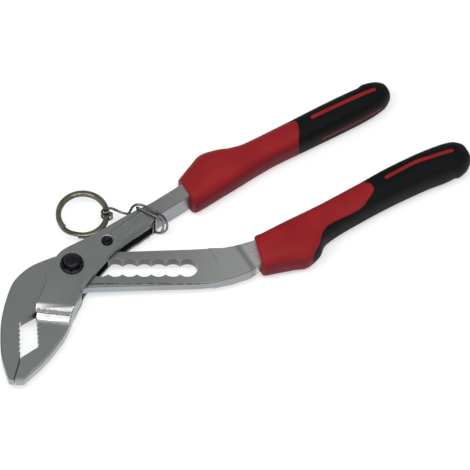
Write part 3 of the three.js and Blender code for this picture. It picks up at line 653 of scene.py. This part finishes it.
def spring_tree():
    """A round spring wire wound as an even coil."""
    group, given = new_tree("Wound spring", (
        ("Turns", "Float"), ("Coil radius", "Float"), ("Height", "Float"), ("Wire radius", "Float"),
        ("Place", "Vector"), ("Finish", "Material"),
    ), "Spring")
    coil = put(group, "GeometryNodeCurveSpiral", Resolution=40, Rotations=given["Turns"],
               Height=given["Height"], Start_Radius=given["Coil radius"], End_Radius=given["Coil radius"])
    section = put(group, "GeometryNodeCurvePrimitiveCircle", Resolution=12, Radius=given["Wire radius"])
    return drawn(group, given, coil.outputs[0], section.outputs[0])


def grown(name, group, values, start=None):
    """The plain mesh that a tree makes from named inputs, as an object that keeps no modifier."""
    made = shown(name, start or bpy.data.meshes.new(name + "_start"))
    modifier = made.modifiers.new("tree", "NODES")
    modifier.node_group = group
    for item in group.interface.items_tree:
        if item.in_out == "INPUT" and item.name in values:
            modifier[item.identifier] = values[item.name]
    mesh = bpy.data.meshes.new_from_object(made.evaluated_get(bpy.context.evaluated_depsgraph_get()))
    made.modifiers.clear()
    made.data = mesh
    mesh.name = name
    smoothed(mesh, 50)
    return made


def drawn_finish(name, dark, light, rough):
    """Drawn wire: fine scratches and stain in two tones, smoother where it is stained."""
    material, tree, shader, place = new_finish(name, 1.0)
    stain = speckle(tree, place, 220, 4, 0.6)
    fine = speckle(tree, place, 3200, 2)
    tone = between(tree, maths(tree, "ADD", stain, product(tree, fine, 0.5)), 0.6, 0.9, 0.0, 1.0)
    rough = between(tree, stain, 0.35, 0.65, rough + 0.08, rough - 0.06)
    surfaced(tree, shader, tint(tree, tone, dark, light), rough, fine, 0.4, 0.03 * mm)
    return material


black_steel = blacked_finish()
button = turned("button_cap", button_profile, pivot, cap_steps, knurl)
button.data.materials.append(black_steel)
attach(button, "button")
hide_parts("push_button")

collar = turned("button_collar", collar_profile, pivot, collar_steps)
collar.data.materials.append(black_steel)
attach(collar, "pivot")
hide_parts("pivot_collar")

# The stem and the barrel keep the form of their solid
solids["locking_pin"].data.materials.clear()
solids["locking_pin"].data.materials.append(black_steel)

spring_steel = drawn_finish("spring wire", (0.3, 0.3, 0.31, 1), (0.5, 0.5, 0.5, 1), 0.34)
spring = grown("button_coil", spring_tree(), {
    "Turns": spring_turns, "Coil radius": spring_radius, "Height": spring_height, "Wire radius": spring_wire,
    "Place": spring_foot, "Finish": spring_steel,
})
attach(spring, "pivot")
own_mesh(spring)
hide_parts("button_spring")


# Stop pin
# A blackened pin pressed through both cheeks over the slotted bar. Its near end is rounded over and
# has a small dimple in the middle.
pin_steps = 64
rivet = cheek + 0.5
pin_profile = [
    (0, 0.3 - cheek), (2.15, 0.3 - cheek), (2.45, 0.6 - cheek), (2.45, rivet - 0.6), (2.42, rivet - 0.38),
    (2.3, rivet - 0.2), (2.05, rivet - 0.07), (1.75, rivet - 0.02), (1.55, rivet - 0.08), (1.4, rivet - 0.18),
    (1.0, rivet - 0.2), (0.55, rivet - 0.22), (0.4, rivet - 0.34), (0, rivet - 0.4),
]
pin_low, pin_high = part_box("stop_pin")
pin_at = Vector(((pin_low[0] + pin_high[0]) / 2, (pin_low[1] + pin_high[1]) / 2, pivot.z))
pin = turned("stop_pin_riveted", pin_profile, pin_at, pin_steps)
pin.data.materials.append(black_steel)
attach(pin, "outer_lever")
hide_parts("stop_pin")


# Handle sleeves
# Each sleeve is moulded on to its tang in two shots: a hard red core with the hand guard, then a
# soft black cover over its rear with slots through which raised red stripes show.
# In millimetres. A row of a skin holds the place along the sleeve as a share of its length, its
# inner and outer side as shares of its half width, and its height as a share of its half height.
sleeve_length = 111.2
sleeve_half = 7.0
sleeve_height = 8.5
sleeve_roundness = 2.7
sleeve_sides = 72
cover_wall = 1.6
stripe_half = 0.9
seam = 0.12
mouth_dip = 0.5
mouth_side = 28
mouth_steps = 160
slant_end = 0.12
past_all = 20
upper_sleeve = {
    "skin": [
        (0, -1.414, 0.85, 0.835), (0.013, -1.514, 0.93, 0.941), (0.081, -1.443, 1.43, 1.035),
        (0.144, -1.343, 1.8, 1.082), (0.207, -1.243, 1.62, 1.082), (0.27, -1.129, 1.25, 1.047),
        (0.333, -1.029, 1.07, 1.012), (0.423, -0.943, 1.05, 1), (0.54, -0.971, 1.06, 1),
        (0.701, -1, 1.09, 1.012), (0.827, -1, 1.07, 1), (0.88, -0.96, 1.04, 0.975),
        (0.903, -0.94, 1.13, 0.955), (0.95, -0.82, 0.99, 0.86), (0.984, -0.56, 0.72, 0.65),
        (0.996, -0.37, 0.53, 0.48), (1, -0.08, 0.24, 0.26),
    ],
    "edge": [
        (0.5, -2.6), (0.531, -0.914), (0.56, -0.1), (0.554, 0.7), (0.5, 0.84), (0.36, 0.9), (0.3, 1.05),
        (0.26, 1.3), (0.22, 1.6), (0.15, 2.9),
    ],
    "stripe": [(0.637, 0.257), (0.79, 0.2), (0.935, 0.114)],
    "side": [(0.637, -2), (0.935, -2), (0.935, -0.2), (0.637, -0.2)],
    "angle": 29.8, "front": (52.345, 41.899), "outward": 1, "slant": 0.0,
}
lower_sleeve = {
    "skin": [
        (0, -0.96, 1.46, 0.835), (0.013, -1.03, 1.59, 0.941), (0.044, -0.985, 1.73, 1.012),
        (0.102, -1, 2.05, 1.082), (0.164, -1.029, 2.4, 1.094), (0.227, -1.029, 2.12, 1.059),
        (0.289, -1.014, 1.42, 1.024), (0.351, -1.029, 1.229, 1), (0.413, -1.071, 1.129, 1),
        (0.538, -1.171, 1, 1), (0.662, -1.3, 0.957, 1.012), (0.787, -1.314, 1, 1.012),
        (0.88, -1.25, 1.15, 0.98), (0.92, -1.19, 1.15, 0.95), (0.937, -1.16, 1.25, 0.92),
        (0.97, -1.05, 1.15, 0.83), (1, -0.79, 0.86, 0.62), (1.013, -0.58, 0.63, 0.46),
        (1.017, -0.3, 0.33, 0.27),
    ],
    "edge": [
        (0.5, -2.6), (0.545, -0.9), (0.564, -0.457), (0.564, 0.057), (0.525, 0.486), (0.449, 0.857),
        (0.335, 0.9), (0.285, 1.12), (0.257, 1.5), (0.236, 1.87), (0.204, 2.171), (0.15, 2.9),
    ],
    "stripe": [(0.638, -0.357), (0.774, -0.443), (0.85, -0.3), (0.945, -0.1)],
    "side": None,
    "angle": 29.0, "front": (86.9, 9.3), "outward": -1, "slant": 0.26,
}


def through(points, steps):
    """A smooth line through points of any number of columns, with extra points between each two."""
    first = [2 * a - b for a, b in zip(points[0], points[1])]
    last = [2 * a - b for a, b in zip(points[-1], points[-2])]
    ends = [first, *points, last]
    line = []
    for p0, p1, p2, p3 in zip(ends, ends[1:], ends[2:], ends[3:]):
        t1, t2, t3 = (max(math.dist(a, b), 1e-9) ** 0.5 for a, b in ((p0, p1), (p1, p2), (p2, p3)))
        for k in range(steps):
            s = k / steps
            spot = []
            for a, b, c, d in zip(p0, p1, p2, p3):
                out = ((b - a) / t1 - (c - a) / (t1 + t2) + (c - b) / t2) * t2
                into = ((c - b) / t2 - (d - b) / (t2 + t3) + (d - c) / t3) * t2
                spot.append((2 * s ** 3 - 3 * s ** 2 + 1) * b + (s ** 3 - 2 * s ** 2 + s) * out
                            + (3 * s ** 2 - 2 * s ** 3) * c + (s ** 3 - s ** 2) * into)
            line.append(spot)
    line.append(list(points[-1]))
    return line


def on_sleeve(sleeve, along, side, height=0.0):
    """A place on a sleeve from millimetres along it, beside its middle and over the middle plane."""
    turn = math.radians(sleeve["angle"])
    side *= sleeve["outward"]
    x = sleeve["front"][0] + along * math.cos(turn) - side * math.sin(turn)
    y = sleeve["front"][1] + along * math.sin(turn) + side * math.cos(turn)
    return pivot + Vector((x, y, height)) * mm


def closed_body(name, rings):
    """A closed mesh through rings of equally many places, with its two ends filled."""
    shell = bmesh.new()
    made = [[shell.verts.new(spot) for spot in ring] for ring in rings]
    sides = len(made[0])
    for low, high in zip(made, made[1:]):
        for k in range(sides):
            shell.faces.new((low[k], low[(k + 1) % sides], high[(k + 1) % sides], high[k]))
    shell.faces.new(made[0])
    shell.faces.new(made[-1])
    bmesh.ops.recalc_face_normals(shell, faces=shell.faces)
    mesh = bpy.data.meshes.new(name)
    shell.to_mesh(mesh)
    shell.free()
    return shown(name, mesh)


def sleeve_skin(sleeve, inset):
    """The sleeve's outside drawn in by an inset: rounded oblong sections along its length."""
    rings = []
    for along, inner, outer, height in through(sleeve["skin"], 6):
        half = (outer - inner) * sleeve_half / 2 - inset
        tall = height * sleeve_height - inset
        if inset and half < cover_wall:
            continue
        middle = (inner + outer) * sleeve_half / 2
        lean = sleeve["slant"] * max(0.0, 1 - along / slant_end)
        ring = []
        for k in range(sleeve_sides):
            turn = 2 * math.pi * (k + 0.5) / sleeve_sides
            c, s = math.cos(turn), math.sin(turn)
            side = middle + half * math.copysign(abs(c) ** (2 / sleeve_roundness), c)
            up = tall * math.copysign(abs(s) ** (2 / sleeve_roundness), s)
            ring.append(on_sleeve(sleeve, along * sleeve_length - lean * side, side, up))
        rings.append(ring)
    return closed_body("skin", rings)


def plate(sleeve, outline, low, high):
    """A flat plate of an outline on the sleeve, between two heights."""
    return closed_body("plate", [[on_sleeve(sleeve, a, s, h) for a, s in outline] for h in (low, high)])


def shifted(line, distance):
    """A line of [along, side] moved to its left."""
    made = []
    for i, (a, s) in enumerate(line):
        (a0, s0), (a1, s1) = line[max(i - 1, 0)], line[min(i + 1, len(line) - 1)]
        span = math.hypot(a1 - a0, s1 - s0)
        made.append((a - (s1 - s0) / span * distance, s + (a1 - a0) / span * distance))
    return made


def behind(sleeve, gap):
    """All of the sleeve behind the front edge of its cover."""
    line = [(a * sleeve_length, s * sleeve_half) for a, s in through(sleeve["edge"], 5)]
    line = shifted(line, gap)
    rear = sleeve_length + 6
    return plate(sleeve, [*line, (rear, past_all), (rear, -past_all)], -past_all, past_all)


def mouth(sleeve):
    """The hollow of the sleeve's front end, whose sides are set back behind its faces."""
    chord = sleeve["skin"][0][3] * sleeve_height
    radius = (chord ** 2 + mouth_dip ** 2) / (2 * mouth_dip)
    rings = []
    for side in (-mouth_side, mouth_side):
        ring = []
        for k in range(mouth_steps):
            turn = 2 * math.pi * k / mouth_steps
            along = mouth_dip - radius + radius * math.cos(turn) - sleeve["slant"] * side
            ring.append(on_sleeve(sleeve, along, side, radius * math.sin(turn)))
        rings.append(ring)
    return closed_body("mouth", rings)


def stripe_bar(sleeve, gap):
    """The raised stripe as an upright bar with round ends."""
    line = [(a * sleeve_length, s * sleeve_half) for a, s in through(sleeve["stripe"], 6)]
    half = stripe_half + gap
    outline = shifted(line, -half)
    for (a, s), (a0, s0) in ((line[-1], line[-2]), (line[0], line[1])):
        heading = math.atan2(s - s0, a - a0)
        for k in range(1, 8):
            turn = heading - math.pi / 2 + math.pi * k / 8
            outline.append((a + half * math.cos(turn), s + half * math.sin(turn)))
        if (a, s) == line[-1]:
            outline += list(reversed(shifted(line, half)))
    return plate(sleeve, outline, -past_all, past_all)


def side_bar(sleeve, gap):
    """The stripe along the sleeve's flank as a flat bar across it."""
    outline = [(a * sleeve_length, s * sleeve_half) for a, s in sleeve["side"]]
    return plate(sleeve, outline, -stripe_half - gap, stripe_half + gap)


def worked(body, how, other):
    """One solid cut by, joined with or kept inside another, which is used up."""
    modifier = body.modifiers.new("work", "BOOLEAN")
    modifier.solver = "EXACT"
    modifier.operation = how
    modifier.object = other
    mesh = bpy.data.meshes.new_from_object(body.evaluated_get(bpy.context.evaluated_depsgraph_get()))
    body.modifiers.clear()
    body.data = mesh
    bpy.data.objects.remove(other)
    return body


def moulded(body, name, node, rides_on, finish):
    """The finished moulding in its place, smooth but for the corners where it was cut."""
    mesh = body.data
    mesh.materials.clear()
    mesh.materials.append(finish)
    mesh.name = name
    body.name = name
    for face in mesh.polygons:
        face.material_index = 0
    smoothed(mesh, 40)
    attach(body, rides_on)
    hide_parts(node)


def tang_of(node):
    """A closed copy of a lever, whose tang is to be cut out of its sleeve."""
    mesh = solids[node].data.copy()
    shell = bmesh.new()
    shell.from_mesh(mesh)
    bmesh.ops.remove_doubles(shell, verts=shell.verts, dist=weld)
    shell.to_mesh(mesh)
    shell.free()
    return shown("tang", mesh)


def core_finish():
    """Hard red plastic, satin and rubbed along its length, with painted shade on its flanks."""
    material, tree, shader, place = new_finish("red hard moulding")
    cloud = speckle(tree, place, 60, 3)
    grain = speckle(tree, place, 2600, 2)
    streak = put(tree, "ShaderNodeMapping", Vector=place, Rotation=(0, 0, math.radians(-29.4)),
                 Scale=(0.08, 1, 1))
    rub = speckle(tree, streak.outputs["Vector"], 900, 3)
    tone = between(tree, maths(tree, "ADD", cloud, product(tree, rub, 0.4)), 0.5, 0.95, 0.0, 1.0)
    body = tint(tree, tone, (0.33, 0.013, 0.017, 1), (0.4, 0.017, 0.021, 1))
    outside = put(tree, "ShaderNodeNewGeometry").outputs["Normal"]
    up = put(tree, "ShaderNodeSeparateXYZ", Vector=outside).outputs["Z"]
    ahead = reach_along(tree, outside, (-0.87, -0.49, 0))
    # Painted shade on the flanks, which face sideways, but not on the front rims
    flank_shade = product(tree, between(tree, up, 0.25, 0.6, 0.75, 0.0), between(tree, ahead, 0.5, 0.8, 1.0, 0.0))
    body = tint(tree, flank_shade, body, (0.17, 0.008, 0.02, 1))
    body = tint(tree, product(tree, worn_edge(tree, 0.6 * mm), 0.25), body, (0.45, 0.04, 0.045, 1))
    shader.inputs["Specular IOR Level"].default_value = 0.2
    surfaced(tree, shader, body, between(tree, rub, 0.35, 0.7, 0.55, 0.65), grain, 0.35, 0.04 * mm)
    return material


def cover_finish():
    """Soft black rubber, matt, with a little dust in patches and worn edges."""
    material, tree, shader, place = new_finish("black soft moulding")
    cloud = speckle(tree, place, 80, 3)
    grain = speckle(tree, place, 2200, 3)
    dust = between(tree, speckle(tree, place, 700, 4, 0.7), 0.55, 0.75, 0.0, 0.5)
    tone = between(tree, cloud, 0.3, 0.7, 0.0, 1.0)
    body = tint(tree, tone, (0.004, 0.0045, 0.005, 1), (0.0065, 0.007, 0.0075, 1))
    body = tint(tree, product(tree, dust, 0.4), body, (0.014, 0.015, 0.016, 1))
    body = tint(tree, product(tree, worn_edge(tree, 0.5 * mm), 0.5), body, (0.018, 0.019, 0.02, 1))
    shader.inputs["Specular IOR Level"].default_value = 0.14
    rough = between(tree, maths(tree, "ADD", cloud, dust), 0.3, 1.0, 0.6, 0.75)
    surfaced(tree, shader, body, rough, grain, 0.5, 0.06 * mm)
    return material


def sleeve_core(sleeve, lever):
    """The red moulding: its guard, its neck under the cover and its raised stripes, over the tang."""
    core = worked(sleeve_skin(sleeve, 0), "DIFFERENCE", behind(sleeve, seam))
    core = worked(core, "UNION", sleeve_skin(sleeve, cover_wall + seam))
    core = worked(core, "UNION", worked(sleeve_skin(sleeve, 0), "INTERSECT", stripe_bar(sleeve, 0)))
    if sleeve["side"]:
        core = worked(core, "UNION", worked(sleeve_skin(sleeve, 0), "INTERSECT", side_bar(sleeve, 0)))
    core = worked(core, "DIFFERENCE", mouth(sleeve))
    return worked(core, "DIFFERENCE", tang_of(lever))


def sleeve_cover(sleeve):
    """The black moulding: a skin over the rear of the core, with slots for its stripes."""
    cover = worked(sleeve_skin(sleeve, 0), "INTERSECT", behind(sleeve, 0))
    cover = worked(cover, "DIFFERENCE", sleeve_skin(sleeve, cover_wall))
    cover = worked(cover, "DIFFERENCE", stripe_bar(sleeve, seam))
    if sleeve["side"]:
        cover = worked(cover, "DIFFERENCE", side_bar(sleeve, seam))
    return cover


red_plastic = core_finish()
black_rubber = cover_finish()
for sleeve, handle in ((upper_sleeve, "outer"), (lower_sleeve, "inner")):
    lever = f"{handle}_lever"
    core = sleeve_core(sleeve, lever)
    cover = sleeve_cover(sleeve)
    moulded(core, f"{handle}_sleeve_core", f"{handle}_grip_core", lever, red_plastic)
    moulded(cover, f"{handle}_sleeve_cover", f"{handle}_grip_cover", lever, black_rubber)


# Split ring
# Flat spring wire wound in two turns, one over the other with a narrow groove between them, and
# joined by one short ramp. The wire is stained brown.
ring_radius = 11.4
ring_wire = 2.5
ring_thick = 1.0
ring_rise = 1.5
ring_points = 240
ring_low, ring_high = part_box("split_ring")
ring_at = Vector([(low + high) / 2 for low, high in zip(ring_low, ring_high)])


def ring_tree():
    """Two turns of flat wire, one over the other, from a line whose points are laid round a circle."""
    group, given = new_tree("Split ring", (
        ("Ring radius", "Float"), ("Rise", "Float"), ("Split angle", "Float"), ("Ramp", "Float"),
        ("Wire width", "Float"), ("Wire height", "Float"), ("Place", "Vector"), ("Finish", "Material"),
    ), "Ring")
    line = put(group, "GeometryNodeMeshLine", Count=ring_points)
    share = maths(group, "DIVIDE", put(group, "GeometryNodeInputIndex").outputs[0], ring_points - 1)
    sweep = maths(group, "SUBTRACT", 4 * math.pi, product(group, given["Ramp"], 2))
    turn = put(group, "ShaderNodeMath", {"operation": "MULTIPLY_ADD"}, _0=share, _1=sweep, _2=given["Ramp"])
    turn = turn.outputs[0]
    climb = between(group, turn, maths(group, "SUBTRACT", 2 * math.pi, given["Ramp"]),
                    maths(group, "ADD", 2 * math.pi, given["Ramp"]),
                    product(group, given["Rise"], -0.5), product(group, given["Rise"], 0.5))
    heading = maths(group, "ADD", turn, given["Split angle"])
    spot = put(group, "ShaderNodeCombineXYZ", Z=climb,
               X=product(group, maths(group, "COSINE", heading, 0.0), given["Ring radius"]),
               Y=product(group, maths(group, "SINE", heading, 0.0), given["Ring radius"]))
    laid = put(group, "GeometryNodeSetPosition", Geometry=line.outputs["Mesh"], Position=spot.outputs[0])
    path = put(group, "GeometryNodeMeshToCurve", Mesh=laid.outputs[0])
    upright = put(group, "GeometryNodeSetCurveNormal", {"mode": "Z_UP"}, Curve=path.outputs[0])
    flat = put(group, "GeometryNodeCurvePrimitiveQuadrilateral", Width=given["Wire width"],
               Height=given["Wire height"])
    rounded = put(group, "GeometryNodeFilletCurve", Curve=flat.outputs[0],
                  Radius=product(group, given["Wire height"], 0.42))
    return drawn(group, given, upright.outputs[0], rounded.outputs[0])


ring_steel = drawn_finish("browned ring wire", (0.15, 0.135, 0.1, 1), (0.3, 0.275, 0.21, 1), 0.34)
ring = grown("split_ring_wound", ring_tree(), {
    "Ring radius": ring_radius * mm, "Rise": ring_rise * mm, "Split angle": math.radians(240),
    "Ramp": math.radians(20), "Wire width": ring_wire * mm, "Wire height": ring_thick * mm, "Place": ring_at,
    "Finish": ring_steel,
})
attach(ring, "ring")
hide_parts("split_ring")


# Tether wire
# One stiff steel wire: nearly two turns round the split ring, a run to the shank, and one and a half
# slanting turns round the shank that cross its near face twice.
wire_radius = 0.6
wire_gap = 0.3
wire_pitch = 2.1
wire_reach = 47.3
wire_side = 2.2
wire_height = cheek + wire_radius + wire_gap
eye_turns = 1.75
eye_steps = 28
# Along the shank and beside it in pitches, and over the middle plane as a share of the wire's height
wire_route = [
    (-6.67, 6.1, 0.53), (-5.43, 4.36, 0.41), (-4.33, 3.14, 0.42), (-3.71, 3.1, 0.68),
    (-3.14, 3.05, 0.99), (-2.43, 2.67, 1.21), (-1.48, 1.9, 1.21), (-0.57, 0.62, 1.12),
    (0.48, -1.38, 1.03), (0.95, -2.57, 0.96), (1.29, -3.43, 0.68), (1.52, -3.76, 0),
    (1.24, -3.48, -0.68), (0.29, -2.62, -1.03), (-1, -1.05, -1.04), (-1.67, 0.62, -1.04),
    (-2.05, 2.14, -1.01), (-2.1, 2.67, -0.68), (-2.14, 2.62, 0), (-2.19, 2.62, 0.68),
    (-2.43, 2.24, 1.01), (-1.62, 0.67, 1.01), (-0.52, -1.71, 1.03), (0.1, -2.86, 0.96),
    (0.43, -3.38, 0.68), (0.62, -3.48, 0), (0.29, -3.29, -0.67),
]


def wire_tree():
    """A round wire along the line that it is given."""
    group, given = new_tree("Bent wire", (
        ("Path", "Geometry"), ("Wire radius", "Float"), ("Finish", "Material"),
    ), "Wire")
    path = put(group, "GeometryNodeMeshToCurve", Mesh=given["Path"])
    section = put(group, "GeometryNodeCurvePrimitiveCircle", Resolution=16, Radius=given["Wire radius"])
    return drawn(group, given, path.outputs[0], section.outputs[0])


def on_shank(along, side, height):
    """A place from millimetres along the shank from the pivot, beside it and over the middle plane."""
    x = along * math.cos(shank_turn) - side * math.sin(shank_turn)
    y = along * math.sin(shank_turn) + side * math.cos(shank_turn)
    return [x, y, height]


def tether_path():
    """The middle of the wire from its end at the ring to its end behind the shank."""
    eye = math.hypot(ring_wire / 2, ring_rise / 2) + wire_radius + wire_gap
    eye_x = (ring_at.x - pivot.x) / mm + ring_radius
    eye_y = (ring_at.y - pivot.y) / mm - eye_turns / 2 * wire_pitch
    points = [[eye_x + eye, eye_y - wire_radius, eye]]
    for i in range(eye_steps + 1):
        turns = i / eye_steps * eye_turns
        turn = -turns * 2 * math.pi
        points.append([eye_x + eye * math.cos(turn), eye_y + turns * wire_pitch, eye * math.sin(turn)])
    for along, side, height in wire_route:
        points.append(on_shank(wire_reach + along * wire_pitch, wire_side + side * wire_pitch,
                               height * wire_height))
    return through(points, 8)


wire_line = bpy.data.meshes.new("tether_line")
spots = [pivot + Vector(spot) * mm for spot in tether_path()]
wire_line.from_pydata(spots, [(i, i + 1) for i in range(len(spots) - 1)], [])
wire_steel = drawn_finish("tether wire steel", (0.1, 0.1, 0.1, 1), (0.26, 0.26, 0.25, 1), 0.36)
tether = grown("tether_wound", wire_tree(), {
    "Wire radius": wire_radius * mm, "Finish": wire_steel,
}, wire_line)
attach(tether, "tether")
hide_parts("tether_wire")
